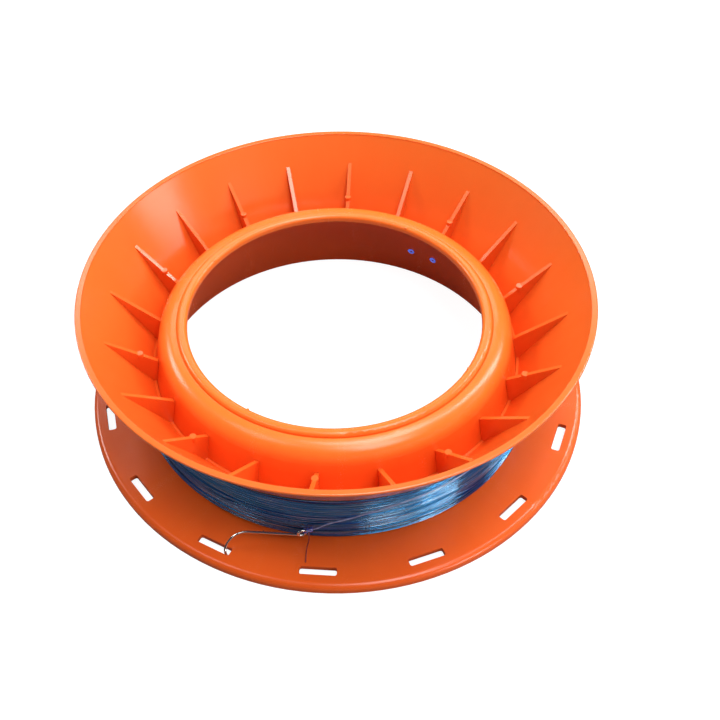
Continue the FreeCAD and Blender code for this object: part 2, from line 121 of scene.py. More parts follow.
def strand_object(name: str, runs: Sequence[Sequence[Vector]], diameter: float,
                  smooth_route: bool = False) -> bpy.types.Object:
    """Round strands along one or more open routes.

    Args:
        name: name of the piece.
        runs: points of each strand.
        diameter: thickness of the strands.
        smooth_route: True for a NURBS line that rounds the points, False for one through them.

    Returns:
        The curve object, at the origin.
    """
    curve = bpy.data.curves.new(name, "CURVE")
    curve.dimensions = "3D"
    curve.bevel_depth = diameter / 2
    curve.bevel_resolution = (STRAND_SIDES - 4) // 2
    curve.use_fill_caps = True
    for points in runs:
        spline = curve.splines.new("NURBS" if smooth_route else "POLY")
        spline.points.add(len(points) - 1)
        for target, point in zip(spline.points, points):
            target.co = (*point, 1.0)
        if smooth_route:
            spline.order_u = 3
            spline.use_endpoint_u = True
            spline.resolution_u = 12
        spline.use_smooth = True
    piece = bpy.data.objects.new(name, curve)
    bpy.context.scene.collection.objects.link(piece)
    return piece


def to_mesh(piece: bpy.types.Object) -> None:
    """Turn a strand curve into its mesh, with its ends closed and smooth shading.

    Args:
        piece: the curve object.
    """
    make_active(piece)
    bpy.ops.object.convert(target="MESH")
    bpy.ops.object.mode_set(mode="EDIT")
    bpy.ops.mesh.select_all(action="SELECT")
    bpy.ops.mesh.remove_doubles(threshold=MERGE_WITHIN)
    bpy.ops.object.mode_set(mode="OBJECT")
    bpy.ops.object.shade_smooth()


def hand_over(piece: bpy.types.Object, body: Body, slot: Slot, *nodes: str) -> None:
    """Let a finished piece ride on its body and stand for its solids.

    Args:
        piece: the finished piece.
        body: body that carries it.
        slot: not used.
        nodes: solids that it stands for.
    """
    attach(piece, body.value)
    if nodes:
        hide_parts(*nodes)
    LOG.info("%s rides on %s", piece.name, body.value)


# ---- node sheets -----------------------------------------------------------------------------
class Sheet:
    """A node tree with short calls to place its nodes and join them."""

    def __init__(self, tree: bpy.types.NodeTree) -> None:
        """Start on a tree."""
        self.tree = tree

    def place(self, kind: str, inputs: dict[Union[str, int], Value] | None = None,
              **settings: object) -> bpy.types.Node:
        """Add a node.

        Args:
            kind: type of the node.
            inputs: number, colour or socket for each named input.
            settings: properties of the node.

        Returns:
            The new node.
        """
        node = self.tree.nodes.new(kind)
        for name, value in settings.items():
            setattr(node, name, value)
        for name, value in (inputs or {}).items():
            self.feed(node.inputs[name], value)
        return node

    def feed(self, socket: bpy.types.NodeSocket, value: Value) -> None:
        """Join a socket to an input, or set a number or colour on it.

        Args:
            socket: the input.
            value: socket that feeds it, or the number, vector or colour that it holds.
        """
        if isinstance(value, bpy.types.NodeSocket):
            self.tree.links.new(value, socket)
        elif isinstance(value, tuple) and len(socket.default_value) == 4:
            socket.default_value = (*value, 1.0)
        else:
            socket.default_value = value

    def math_of(self, operation: str, first: Value, second: Value = 0.0) -> bpy.types.NodeSocket:
        """Result of a math node on two numbers or sockets."""
        node = self.place("ShaderNodeMath", {0: first, 1: second}, operation=operation)
        return node.outputs[0]

    def blend(self, share: Value, low: Value, high: Value) -> bpy.types.NodeSocket:
        """Colour between two colours by a share."""
        node = self.place("ShaderNodeMix", {0: share, 6: low, 7: high}, data_type="RGBA")
        return node.outputs[2]

    def spread(self, value: Value, low: float, high: float) -> bpy.types.NodeSocket:
        """A mask from 0 to 1 turned into numbers from low to high."""
        node = self.place("ShaderNodeMapRange", {"Value": value, "To Min": low, "To Max": high})
        return node.outputs["Result"]

    def sharpen(self, value: Value, low: float = 0.36, high: float = 0.64) -> bpy.types.NodeSocket:
        """Stretch the middle values of a cloudy mask to the whole range from 0 to 1.

        Args:
            value: the mask.
            low: value that becomes 0.
            high: value that becomes 1.

        Returns:
            The mask with more contrast.
        """
        node = self.place("ShaderNodeMapRange",
                          {"Value": value, "From Min": low, "From Max": high})
        return node.outputs["Result"]

    def noise(self, place: Value, scale: Value, detail: float = 2.0) -> bpy.types.NodeSocket:
        """Cloudy mask from 0 to 1.

        Args:
            place: the place to read it at.
            scale: how many clouds fit in a metre, or in a unit of the place.
            detail: how many finer layers it holds.

        Returns:
            The mask.
        """
        node = self.place("ShaderNodeTexNoise",
                          {"Vector": place, "Scale": scale, "Detail": detail})
        return node.outputs["Fac"]


class Group(Enum):
    """Shared node groups."""

    SKIN = "moulded_skin"
    STRAND = "strand_tone"


def start_group(group: Group, inputs: dict[str, float], outputs: Sequence[str]) -> Sheet:
    """New node group with named sockets.

    Args:
        group: which group.
        inputs: name and usual value of each number that goes in.
        outputs: name of each value that comes out.

    Returns:
        The sheet of the group, with nothing but its two end nodes.
    """
    tree = bpy.data.node_groups.new(group.value, "ShaderNodeTree")
    for name, value in inputs.items():
        socket = tree.interface.new_socket(name, in_out="INPUT", socket_type="NodeSocketFloat")
        socket.default_value = value
    for name in outputs:
        tree.interface.new_socket(name, in_out="OUTPUT", socket_type="NodeSocketFloat")
    tree.nodes.new("NodeGroupInput")
    tree.nodes.new("NodeGroupOutput")
    return Sheet(tree)


def round_axis(sheet: Sheet) -> tuple[bpy.types.NodeSocket, ...]:
    """Measures round the spool's axis.

    Args:
        sheet: the sheet to place the nodes on.

    Returns:
        The place on the piece, its azimuth in radians and its height in metres.
    """
    place = sheet.place("ShaderNodeTexCoord").outputs["Object"]
    split = sheet.place("ShaderNodeSeparateXYZ", {0: place})
    azimuth = sheet.math_of("ARCTAN2", split.outputs["Y"], split.outputs["X"])
    return place, azimuth, split.outputs["Z"]


def build_skin_group() -> None:
    """Moulded skin: flow streaks that fan out, soft sinks, a fine grain, and a painted shade that
    darkens the tone low down and lightens it higher up.
    """
    sheet = start_group(
        Group.SKIN,
        {"Streaks": 14.0, "Streak Rise": 30.0, "Sink Scale": 40.0, "Grain Scale": 2400.0,
         "Streak Share": 0.22, "Sink Share": 0.12, "Painted Shade Share": 0.66, "Grain Share": 0.2,
         "Painted Shade Height": 0.0, "Painted Light Height": 0.04},
        ("Tone", "Gloss Break", "Height"))
    given = sheet.tree.nodes["Group Input"].outputs
    place, azimuth, height = round_axis(sheet)
    fanned = sheet.place("ShaderNodeCombineXYZ", {
        "X": sheet.math_of("MULTIPLY", azimuth, given["Streaks"]),
        "Y": sheet.math_of("MULTIPLY", height, given["Streak Rise"])})
    streaks = sheet.noise(fanned.outputs[0], 1.0, 4.0)
    sinks = sheet.noise(place, given["Sink Scale"], 2.0)
    grain = sheet.noise(place, given["Grain Scale"], 3.0)
    # Painted shade: the tone rises from dark below the lower height to light at the upper height.
    rise = sheet.place("ShaderNodeMapRange", {
        "Value": height, "From Min": given["Painted Shade Height"], "From Max": given["Painted Light Height"]})
    clouds = sheet.math_of("ADD", sheet.math_of("MULTIPLY", streaks, given["Streak Share"]),
                           sheet.math_of("MULTIPLY", sinks, given["Sink Share"]))
    painted_shade = sheet.math_of("MULTIPLY", rise.outputs["Result"], given["Painted Shade Share"])
    # Tone holds the random streaks and sinks plus the painted shade by height.
    tone = sheet.math_of("ADD", clouds, painted_shade)
    relief = sheet.math_of("ADD", sheet.math_of("MULTIPLY", grain, given["Grain Share"]), sinks)
    ends = sheet.tree.nodes["Group Output"].inputs
    sheet.feed(ends["Tone"], tone)
    sheet.feed(ends["Gloss Break"], sheet.math_of("MULTIPLY", grain, streaks))
    sheet.feed(ends["Height"], relief)


def build_strand_group() -> None:
    """Masks that change from strand to strand up the load and slowly along each strand."""
    sheet = start_group(
        Group.STRAND,
        {"Strands Per Metre": 2000.0, "Changes Per Radian": 2.2, "Stretch Scale": 0.25,
         "Shine Quickness": 1.7, "Shine Shift": 90.0},
        ("Tone", "Stretch", "Shine"))
    given = sheet.tree.nodes["Group Input"].outputs
    _, azimuth, height = round_axis(sheet)
    along = sheet.math_of("MULTIPLY", azimuth, given["Changes Per Radian"])
    up = sheet.math_of("MULTIPLY", height, given["Strands Per Metre"])
    grid = sheet.place("ShaderNodeCombineXYZ", {"X": along, "Y": up})
    tone = sheet.noise(grid.outputs[0], 1.0, 2.0)
    stretch = sheet.noise(grid.outputs[0], given["Stretch Scale"], 3.0)
    fine = sheet.place("ShaderNodeCombineXYZ", {
        "X": sheet.math_of("MULTIPLY", along, given["Shine Quickness"]),
        "Y": sheet.math_of("ADD", up, given["Shine Shift"])})
    shine = sheet.noise(fine.outputs[0], 1.0, 1.0)
    ends = sheet.tree.nodes["Group Output"].inputs
    sheet.feed(ends["Tone"], sheet.sharpen(tone))
    sheet.feed(ends["Stretch"], sheet.sharpen(stretch))
    sheet.feed(ends["Shine"], sheet.sharpen(shine, SHINE_FROM, SHINE_TO))


def new_material(name: str) -> tuple[bpy.types.Material, Sheet, bpy.types.Node]:
    """Start a material that has a Principled BSDF on its output.

    Args:
        name: name of the material.

    Returns:
        The material, its sheet and that shader.
    """
    material = bpy.data.materials.new(name)
    material.use_nodes = True
    sheet = Sheet(material.node_tree)
    shader = material.node_tree.nodes["Principled BSDF"]
    return material, sheet, shader


def place_group(sheet: Sheet, group: Group, values: dict[str, float]) -> bpy.types.Node:
    """Put a shared group in a material with its own values.

    Args:
        sheet: the material's sheet.
        group: which group.
        values: number for each input that isn't at its usual value.

    Returns:
        The group's node.
    """
    node = sheet.place("ShaderNodeGroup", node_tree=bpy.data.node_groups[group.value])
    for name, value in values.items():
        node.inputs[name].default_value = value
    return node


# ---- finishes --------------------------------------------------------------------------------
@dataclass(frozen=True)
class PlasticFinish:
    """Satin-gloss injection-moulded plastic.

    The tone runs from deep_colour at the lower height to colour at the upper height, both in metres:
    a painted shade, darker and redder low down, on top of the random streaks and sinks.
    """

    name: str
    colour: Colour = (0.89, 0.185, 0.0230)
    # deep_colour: the darker, redder orange of the painted shade and of the darker random streaks.
    deep_colour: Colour = (0.85, 0.102, 0.0115)
    roughness_low: float = 0.22
    roughness_high: float = 0.36
    relief: float = 0.00004
    streaks: float = 14.0
    sink_scale: float = 40.0
    painted_shade_height: float = 0.0
    painted_light_height: float = 0.04
    ior: float = 1.49
    shine: float = 0.45
    scatter: float = 0.06
    scatter_reach: Colour = (0.0022, 0.0006, 0.0002)

    def material(self) -> bpy.types.Material:
        """Build the material.

        Returns:
            The material.
        """
        material, sheet, shader = new_material(self.name)
        skin = place_group(sheet, Group.SKIN,
                           {"Streaks": self.streaks, "Sink Scale": self.sink_scale,
                            "Painted Shade Height": self.painted_shade_height, "Painted Light Height": self.painted_light_height})
        sheet.feed(shader.inputs["Base Color"],
                   sheet.blend(skin.outputs["Tone"], self.deep_colour, self.colour))
        sheet.feed(shader.inputs["Roughness"],
                   sheet.spread(skin.outputs["Gloss Break"], self.roughness_low, self.roughness_high))
        bump = sheet.place("ShaderNodeBump", {
            "Height": skin.outputs["Height"], "Distance": self.relief})
        sheet.feed(shader.inputs["Normal"], bump.outputs["Normal"])
        shader.inputs["IOR"].default_value = self.ior
        shader.inputs["Specular IOR Level"].default_value = self.shine
        shader.inputs["Subsurface Weight"].default_value = self.scatter
        shader.inputs["Subsurface Radius"].default_value = self.scatter_reach
        shader.inputs["Subsurface Scale"].default_value = 1.0
        return material


@dataclass(frozen=True)
class StrandFinish:
    """Nylon monofilament.

    The high ior and the blue shine_tint stand in for light that passes through many clear turns.
    """

    name: str
    colour: Colour = (0.030, 0.034, 0.30)
    deep_colour: Colour = (0.008, 0.004, 0.028)
    roughness_low: float = 0.07
    roughness_high: float = 0.22
    ior: float = 2.9
    shine: float = 1.0
    shine_tint: Colour = (0.16, 0.60, 1.0)
    # glow: strength of a painted glow in the strand's own colour; only the start knots use it.
    glow: float = 0.0
    coated: bool = True
    coat_ior: float = 3.0
    coat_roughness: float = 0.10

    def material(self) -> bpy.types.Material:
        """Build the material.

        Returns:
            The material.
        """
        material, sheet, shader = new_material(self.name)
        strand = place_group(sheet, Group.STRAND, {})
        sheet.feed(shader.inputs["Base Color"],
                   sheet.blend(strand.outputs["Tone"], self.deep_colour, self.colour))
        sheet.feed(shader.inputs["Roughness"],
                   sheet.spread(strand.outputs["Stretch"], self.roughness_low, self.roughness_high))
        shader.inputs["IOR"].default_value = self.ior
        shader.inputs["Specular IOR Level"].default_value = self.shine
        shader.inputs["Specular Tint"].default_value = (*self.shine_tint, 1.0)
        if self.coated:
            sheet.feed(shader.inputs["Coat Weight"], strand.outputs["Shine"])
            shader.inputs["Coat IOR"].default_value = self.coat_ior
            shader.inputs["Coat Roughness"].default_value = self.coat_roughness
        # Painted glow wherever glow is above 0.
        shader.inputs["Emission Color"].default_value = (*self.colour, 1.0)
        shader.inputs["Emission Strength"].default_value = self.glow
        return material


@dataclass(frozen=True)
class WireFinish:
    """Bright nickel plate on drawn wire."""

    name: str
    colour: Colour = (0.95, 0.92, 0.88)
    dull_colour: Colour = (0.74, 0.66, 0.60)
    roughness_low: float = 0.04
    roughness_high: float = 0.14
    haze_scale: float = 420.0
    haze_stretch: tuple[float, float, float] = (1.0, 6.0, 6.0)
    relief: float = 0.00001

    def material(self) -> bpy.types.Material:
        """Build the material.

        Returns:
            The material.
        """
        material, sheet, shader = new_material(self.name)
        place = sheet.place("ShaderNodeTexCoord").outputs["Object"]
        drawn = sheet.place("ShaderNodeMapping", {"Vector": place, "Scale": self.haze_stretch})
        haze = sheet.noise(drawn.outputs[0], self.haze_scale, 4.0)
        sheet.feed(shader.inputs["Base Color"],
                   sheet.blend(haze, self.dull_colour, self.colour))
        sheet.feed(shader.inputs["Roughness"],
                   sheet.spread(haze, self.roughness_low, self.roughness_high))
        bump = sheet.place("ShaderNodeBump", {"Height": haze, "Distance": self.relief})
        sheet.feed(shader.inputs["Normal"], bump.outputs["Normal"])
        shader.inputs["Metallic"].default_value = 1.0
        return material


# ---- mouldings -------------------------------------------------------------------------------
@dataclass
class Mouldings:
    """The core moulding and the casting cone, which keep the shape of their solids."""

    nodes: dict[str, bpy.types.Object]
    finishes: dict[str, PlasticFinish] = field(default_factory=lambda: {
        # Drum: painted shade, full below 28 mm on the flange and lower bore wall, gone at the lip at
        # 39 mm.
        "core_drum": PlasticFinish("drum_plastic", streaks=9.0, sink_scale=32.0,
                                   painted_shade_height=0.028, painted_light_height=0.039),
        # Cone: its colours are a darker, shaded copy of the drum's orange, the same plastic, and a
        # painted shade darkens its foot under the rim, fading out towards 60 mm.
        "casting_cone": PlasticFinish("cone_plastic_shaded_copy", colour=(0.78, 0.152, 0.0235),
                                      deep_colour=(0.80, 0.100, 0.0115), roughness_low=0.18,
                                      roughness_high=0.30, streaks=16.0, sink_scale=44.0,
                                      painted_shade_height=0.022, painted_light_height=0.060, shine=0.62)})

    def dress(self) -> None:
        """Give each moulding its finish."""
        for name, finish in self.finishes.items():
            self.nodes[name].data.materials[0] = finish.material()
            LOG.info("%s keeps the shape of its solid", name)


# ---- load of line ----------------------------------------------------------------------------
def smooth_step(share: float) -> float:
    """Share from 0 to 1 that starts and ends gently."""
    return share * share * (3 - 2 * share)


@dataclass
class PackedRing:
    """Line packed under the outer layer: a ring whose walls are ridged like strands."""

    rows: int
    segments: int = 160
    wall: float = 2.62 * MM
    ridge: float = 0.10 * MM
    foot: float = 0.2 * MM
    margin: float = 1.2 * MM

    def step_to(self, radius: float, new_radius: float, climb: float) -> float:
        """Extrude the selected ring.

        Args:
            radius: its radius before.
            new_radius: its radius after.
            climb: how far up it goes.

        Returns:
            The new radius.
        """
        share = new_radius / radius
        bpy.ops.mesh.extrude_region_move(TRANSFORM_OT_translate={"value": (0, 0, climb)})
        bpy.ops.transform.resize(value=(share, share, 1.0), center_override=(0, 0, 0))
        return new_radius

    def make(self) -> bpy.types.Object:
        """Make the ring in the space of its solid: up the outside and down the inside.

        Returns:
            The piece.
        """
        low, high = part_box("line_core")
        outer = high.x
        inner = outer - self.wall
        half_row = (high.z - low.z - self.margin) / self.rows / 2
        deselect_all()
        bpy.ops.mesh.primitive_circle_add(vertices=self.segments, radius=inner,
                                          location=(0, 0, 0))
        piece = bpy.context.object
        piece.name = "packed_line"
        bpy.ops.object.mode_set(mode="EDIT")
        bpy.ops.transform.translate(value=(0, 0, low.z + self.foot))
        radius = self.step_to(inner, outer - self.ridge, 0.0)
        for _ in range(self.rows):
            radius = self.step_to(radius, outer, half_row)
            radius = self.step_to(radius, outer - self.ridge, half_row)
        radius = self.step_to(radius, inner + self.ridge, 0.0)
        for row in range(self.rows):
            radius = self.step_to(radius, inner, -half_row)
            if row < self.rows - 1:
                radius = self.step_to(radius, inner + self.ridge, -half_row)
        bpy.ops.mesh.select_all(action="DESELECT")
        bpy.ops.mesh.select_non_manifold()
        bpy.ops.mesh.bridge_edge_loops()
        bpy.ops.mesh.select_all(action="SELECT")
        bpy.ops.mesh.normals_make_consistent(inside=False)
        bpy.ops.object.mode_set(mode="OBJECT")
        bpy.ops.object.shade_smooth()
        return piece


@dataclass
class StartKnots:
    """Stopper knots on the line's first end, at the two holes through the drum wall."""

    strand: float
    hub_taper: float = 12.0
    hole_degrees: tuple[float, ...] = (47.7, 56.7)
    hole_height: float = 16.0 * MM
    hole_radius: float = 72.6 * MM
    proud: float = 0.7
    tail_points: int = 4
    tail_start: float = 3.2 * MM
    tail_step: float = 0.8 * MM
    turns: int = 2
    steps_per_turn: int = 16
    inner: float = 0.80 * MM
    outer: float = 1.45 * MM

    def run(self, degrees: float) -> list[Vector]:
        """Route of one end: through its hole, then round in a flat coil on the drum's inside.

        Args:
            degrees: azimuth of the hole.

        Returns:
            Points of the strand.
        """
        lean = math.radians(self.hub_taper)
        outward = polar(1.0, degrees, 0.0)
        across = Vector((0, 0, 1)).cross(outward)
        slope = Vector((0, 0, math.cos(lean))) - outward * math.sin(lean)
        mouth = polar(self.hole_radius - self.strand * self.proud, degrees, self.hole_height)
        points = [mouth + outward * (self.tail_start - self.tail_step * i)
                  for i in range(self.tail_points)]
        steps = self.turns * self.steps_per_turn
        for i in range(steps + 1):
            angle = FULL_TURN * i / self.steps_per_turn
            reach = self.inner + (self.outer - self.inner) * i / steps
            points.append(mouth + (across * math.cos(angle) + slope * math.sin(angle)) * reach)
        return points

    def make(self) -> bpy.types.Object:
        """Make both knots as one piece.

        Returns:
            The piece.
        """
        piece = strand_object("start_knots", [self.run(degrees) for degrees in self.hole_degrees],
                              self.strand)
        to_mesh(piece)
        return piece


@dataclass
class ConeTurns:
    """Turns that have climbed over the load's edge and lie up the back of the cone."""

    strand: float
    steps_per_turn: int
    turns: int = 23
    start: float = 25.5 * MM
    end: float = 36.6 * MM
    seat: float = 0.62
    sway: float = 0.12 * MM
    sways_per_turn: int = 2
    sway_drift: float = 19.0
    # Radius and height of two places on the cone's outside.
    cone_line: tuple[tuple[float, float], ...] = ((81.2 * MM, 25.6 * MM), (96.04 * MM, 50.0 * MM))

    def cone_radius(self, height: float) -> float:
        """Outside radius of the cone.

        Args:
            height: height above the table.

        Returns:
            The radius.
        """
        foot, rim = self.cone_line
        share = (height - foot[1]) / (rim[1] - foot[1])
        return foot[0] + (rim[0] - foot[0]) * share

    def route(self) -> list[Vector]:
        """Route of the turns, from the load's edge upwards.

        Returns:
            Points of the strand.
        """
        points = []
        count = self.turns * self.steps_per_turn
        for i in range(count + 1):
            share = i / count
            degrees = 360.0 * self.turns * share
            sway = self.sway * math.sin(math.radians(degrees) * self.sways_per_turn
                                        + share * self.sway_drift)
            height = self.start + (self.end - self.start) * share + sway
            radius = self.cone_radius(height) + self.strand * self.seat
            points.append(polar(radius, degrees, height))
        return points


@dataclass
class Strays:
    """Strands that come up out of the layer, cross some turns and go in again."""

    strand: float
    radius: float
    lowest: float
    highest: float
    count: int = 26
    steps: int = 60
    spans: tuple[float, float] = (50.0, 110.0)
    climbs: tuple[float, float] = (0.8, 2.2)
    proud: float = 0.86
    surfacing: float = 9.0

    def route(self, draw: Random) -> list[Vector]:
        """Route of one stray, from one buried end to the other.

        Args:
            draw: source of the random start, span, height and climb.

        Returns:
            Points of the strand.
        """
        start = draw.uniform(0, 360)
        span = draw.uniform(*self.spans)
        low = draw.uniform(self.lowest, self.highest)
        climb = draw.choice((-1, 1)) * draw.uniform(*self.climbs) * MM
        over = self.radius + self.strand * self.proud
        under = self.radius - self.strand
        points = []
        for i in range(self.steps + 1):
            share = i / self.steps
            rise = smooth_step(min(1.0, self.surfacing * share, self.surfacing * (1 - share)))
            height = low + climb * smooth_step(share)
            points.append(polar(under + (over - under) * rise, start + span * share, height))
        return points


@dataclass
class LineLoad:
    """Packed line under one outer layer of turns that lie side by side."""

    turns: int = 40
    steps_per_turn: int = 120
    strand: float = 0.47 * MM
    end_degrees: float = -45.0
    end_radius: float = 81.35 * MM
    first_height: float = 4.30 * MM
    end_height: float = 24.7714 * MM
    wander: float = 0.16 * MM
    wave_counts: tuple[int, ...] = (1, 2, 3, 5)
    creeps: tuple[float, float] = (0.05, 0.3)
    sink: float = 0.13 * MM
    sink_drift: float = 2.4
    sinks_per_turn: int = 3
    calm_first: float = 2.0
    calm_last: float = 4.0
    stray_foot: float = 2.0 * MM
    stray_head: float = 5.0 * MM
    seed: int = 11

    def turn_point(self, turn: float, waves: Sequence[tuple[float, ...]]) -> Vector:
        """Middle of the strand a number of turns up the layer, counted from the flange.

        Args:
            turn: turns from the start.
            waves: how often, how strongly and from where each wave pushes the strand, and how
                far it creeps round with each turn.

        Returns:
            The point.
        """
        degrees = self.end_degrees + 360.0 * (self.turns - turn)
        pitch = (self.end_height - self.first_height) / self.turns
        calm = min(1.0, (self.turns - turn) * self.calm_last, turn * self.calm_first)
        lift = sum(share * math.sin(math.radians(degrees) * count + phase + turn * creep)
                   for count, share, phase, creep in waves)
        dip = 0.5 + 0.5 * math.sin(turn * self.sink_drift
                                   + math.radians(degrees) * self.sinks_per_turn)
        height = self.first_height + pitch * turn + self.wander * lift * calm
        return polar(self.end_radius - self.sink * dip * calm, degrees, height)

    def outer_layer(self) -> bpy.types.Object:
        """Outer layer in one unbroken strand, the turns on the cone and the strays.

        Returns:
            The piece.
        """
        draw = Random(self.seed)
        waves = [(count, 1.0 / count, draw.uniform(0, FULL_TURN), draw.uniform(*self.creeps))
                 for count in self.wave_counts]
        steps = self.turns * self.steps_per_turn
        layer = [self.turn_point(i / self.steps_per_turn, waves) for i in range(steps + 1)]
        strays = Strays(self.strand, self.end_radius, self.first_height + self.stray_foot,
                        self.end_height - self.stray_head)
        crossings = [strays.route(draw) for _ in range(strays.count)]
        climb = ConeTurns(self.strand, self.steps_per_turn).route()
        piece = strand_object("wound_line", [layer, climb] + crossings, self.strand)
        to_mesh(piece)
        return piece

    def build(self) -> None:
        """Make, dress and hand over the load."""
        packed = PackedRing(self.turns).make()
        packed.data.materials.append(StrandFinish("packed_strands").material())
        hand_over(packed, Body.SPOOL, Slot.LINE, "line_core")
        knots = StartKnots(self.strand).make()
        # Painted glow: the brighter blue and the glow stand in for light shining through the clear
        # line in the holes.
        knots.data.materials.append(StrandFinish(
            "start_strand_painted_glow", colour=(0.10, 0.20, 0.95), deep_colour=(0.05, 0.07, 0.60),
            ior=1.8, shine_tint=(1.0, 1.0, 1.0), glow=0.6).material())
        hand_over(knots, Body.SPOOL, Slot.LINE)
        layer = self.outer_layer()
        layer.data.materials.append(StrandFinish("wound_strands").material())
        hand_over(layer, Body.LINE_END, Slot.LINE, "line_turns")


# ---- free end of the line --------------------------------------------------------------------
@dataclass
class LineEnd:
    """The lead over the winding, the knot in the hook's eye and the cut end."""

    hook: bpy.types.Object
    diameter: float = 0.5 * MM
    lead_length: float = 79.5 * MM
    # Points of both routes: radius in millimetres, azimuth in degrees, height in millimetres.
    lead_route: tuple[tuple[float, float, float], ...] = (
        (81.352, -45.352, 24.772),
        (81.695, -50.267, 24.786),
        (82.35, -56.2, 24.2),
        (82.50, -62.3, 23.7),
        (82.50, -68.5, 23.1),
        (82.50, -74.7, 22.4),
        (82.50, -80.7, 21.4),
        (82.50, -86.2, 19.4),
        (82.60, -90.9, 17.1),
        (82.75, -94.6, 15.4),
        (83.05, -97.0, 13.9),
        (83.681, -98.269, 12.847),
        (83.586, -99.335, 11.947),
    )
    tag_route: tuple[tuple[float, float, float], ...] = (
        (84.243, -100.565, 10.420),
        (86.322, -100.198, 9.353),
        (88.2, -100.8, 6.6),
        (90.7, -100.75, 5.1),
        (93.0, -100.7, 4.4),
    )
    loop_middle: Vector = field(default_factory=lambda: Vector((-16.646, -81.807, 10.122)) * MM)
    heading: Vector = field(default_factory=lambda: Vector((0.8462, -0.1842, 0.5)))
    eye_wire: Vector = field(default_factory=lambda: Vector((-0.5274, -0.1561, 0.8351)))
    loop_radius: float = 0.85 * MM
    loop_opening: float = 30.0
    loop_steps: int = 16
    barrel: float = 2.8 * MM
    barrel_steps: int = 6
    wraps: float = 4.5
    wrap_steps: int = 22
    wrap_radius: float = 0.58 * MM
    # Shares of the line's diameter: how far the first wrap is from the loop, how much of the
    # barrel the wraps leave free, and how thin the knot draws the line.
    wrap_gap: float = 0.4
    barrel_gap: float = 1.4
    drawn_thin: float = 0.96
    finishes: tuple[StrandFinish, ...] = (
        StrandFinish("knot_strand", colour=(0.10, 0.12, 0.62), deep_colour=(0.04, 0.04, 0.30),
                     ior=1.8, shine_tint=(1.0, 1.0, 1.0)),
        # Cut end: the dark red colour and orange shine tint are painted, the orange flange seen
        # through the clear blue line, in shade.
        StrandFinish("tag_strand_painted_see_through", colour=(0.30, 0.035, 0.030), deep_colour=(0.16, 0.016, 0.020),
                     ior=1.53, shine=0.5, shine_tint=(1.0, 0.5, 0.3), coated=False),
        # Lead: the pale lilac is partly the paler blue of one thin strand and partly a painted sheen
        # for the highlights along it.
        StrandFinish("lead_strand_painted_sheen", colour=(0.44, 0.46, 0.74), deep_colour=(0.30, 0.30, 0.56),
                     ior=2.0, shine_tint=(1.0, 1.0, 1.0)))

    def knot_point(self, along: float, side: float, over: float) -> Vector:
        """Point in the knot, from the middle of the loop.

        Args:
            along: towards the lead.
            side: square to the eye's wire.
            over: along the eye's wire.

        Returns:
            The point.
        """
        heading = self.heading.normalized()
        wire = (self.eye_wire - heading * self.eye_wire.dot(heading)).normalized()
        return self.loop_middle + heading * along + heading.cross(wire) * side + wire * over

    def knot(self) -> bpy.types.Object:
        """Clinch knot in one strand: down the middle, round the eye's wire and wrapped back.

        Returns:
            The piece.
        """
        reach = self.loop_radius
        points = [self.knot_point(reach + self.barrel - i * self.barrel / self.barrel_steps, 0, 0)
                  for i in range(self.barrel_steps)]
        sweep = 360 - 2 * self.loop_opening
        for i in range(self.loop_steps + 1):
            angle = math.radians(self.loop_opening + sweep * i / self.loop_steps)
            points.append(self.knot_point(reach * math.cos(angle), reach * math.sin(angle), 0))
        count = int(self.wraps * self.wrap_steps)
        first = reach + self.diameter * self.wrap_gap
        length = self.barrel - self.diameter * self.barrel_gap
        for i in range(count + 1):
            angle = -math.pi / 2 + FULL_TURN * i / self.wrap_steps
            points.append(self.knot_point(first + length * i / count,
                                          self.wrap_radius * math.sin(angle),
                                          self.wrap_radius * math.cos(angle)))
        piece = strand_object("hook_knot_wraps", [points], self.diameter * self.drawn_thin)
        to_mesh(piece)
        return piece

    def free_run(self, name: str, route: Sequence[tuple[float, float, float]]) -> bpy.types.Object:
        """Free strand on one smooth line along a route."""
        points = [polar(radius * MM, degrees, height * MM) for radius, degrees, height in route]
        return strand_object(name, [points], self.diameter, smooth_route=True)

    def build(self) -> None:
        knot = self.knot()
        tag = self.free_run("cut_end", self.tag_route)
        lead = self.free_run("lead", self.lead_route)
        for piece, finish in zip((knot, tag, lead), self.finishes):
            piece.data.materials.append(finish.material())
        hand_over(knot, Body.LINE_END, Slot.LINE, "hook_knot")
        hand_over(tag, Body.LINE_END, Slot.LINE, "line_tag_end")
        hand_over(lead, Body.LINE_END, Slot.LINE, "line_lead")


# ---- hook ------------------------------------------------------------------------------------
@dataclass
class StowedHook:
    """The hook, which keeps the shape of its solid."""

    node: bpy.types.Object
    finish: WireFinish = WireFinish("nickel_plate")

    def dress(self) -> None:
        """Give the hook its finish."""
        self.node.data.materials[0] = self.finish.material()
        LOG.info("hook keeps the shape of its solid")


# ---- studio ----------------------------------------------------------------------------------
@dataclass(frozen=True)
class Lamp:
    """Soft rectangular lamp that faces the spool: angles in degrees, sizes in metres."""

    name: str
    azimuth: float
    elevation: float
    distance: float
    width: float
    height: float
    watts: float

    def hang(self, target: Vector) -> None:
        """Hang the lamp and turn it to the target.

        Args:
            target: the place that it faces.
        """
        light = bpy.data.lights.new(self.name, "AREA")
        light.shape = "RECTANGLE"
        light.size = self.width
        light.size_y = self.height
        light.energy = self.watts
        lamp = bpy.data.objects.new(self.name, light)
        angle, lift = math.radians(self.azimuth), math.radians(self.elevation)
        away = Vector((math.cos(angle) * math.cos(lift), math.sin(angle) * math.cos(lift),
                       math.sin(lift)))
        lamp.location = target + away * self.distance
        lamp.rotation_mode = "QUATERNION"
        lamp.rotation_quaternion = away.to_track_quat("Z", "Y")
        bpy.context.scene.collection.objects.link(lamp)


